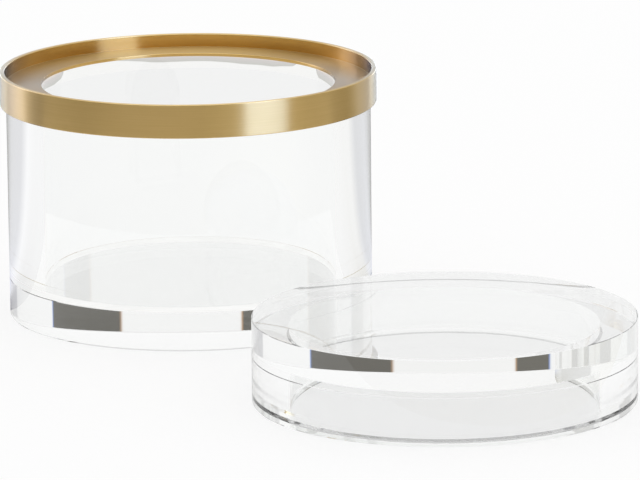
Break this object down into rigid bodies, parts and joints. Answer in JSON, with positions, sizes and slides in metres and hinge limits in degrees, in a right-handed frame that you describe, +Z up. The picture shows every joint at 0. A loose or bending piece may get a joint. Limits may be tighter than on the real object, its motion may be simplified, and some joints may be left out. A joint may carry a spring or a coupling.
{
  "type": "acrylic storage box with lid",
  "caption": "Round box of thick clear acrylic with a brushed brass collar that seats its loose lid. The lid lies beside it.",
  "frame": {"origin": "centre of the box's underside, on the table", "axes": "+Z up the box's axis; the picture looks along +Y, with +X to its right"},
  "size_m": [0.2461, 0.2992, 0.0984],
  "materials": {
    "clear_acrylic": "polished clear",
    "brushed_brass": "brushed round the band"
  },
  "bodies": {
    "box": {"base_disc": "clear_acrylic", "wall_tube": "clear_acrylic", "seat_ring": "brushed_brass", "brass_collar": "brushed_brass"},
    "lid": {"lid_disc": "clear_acrylic", "lid_ring": "clear_acrylic"}
  },
  "joints": [
    {"name": "lid_lift", "type": "slide", "parent": "box", "child": "lid", "axis": [0, 0, 1], "range_m": [0, 0.15]}
  ]
}
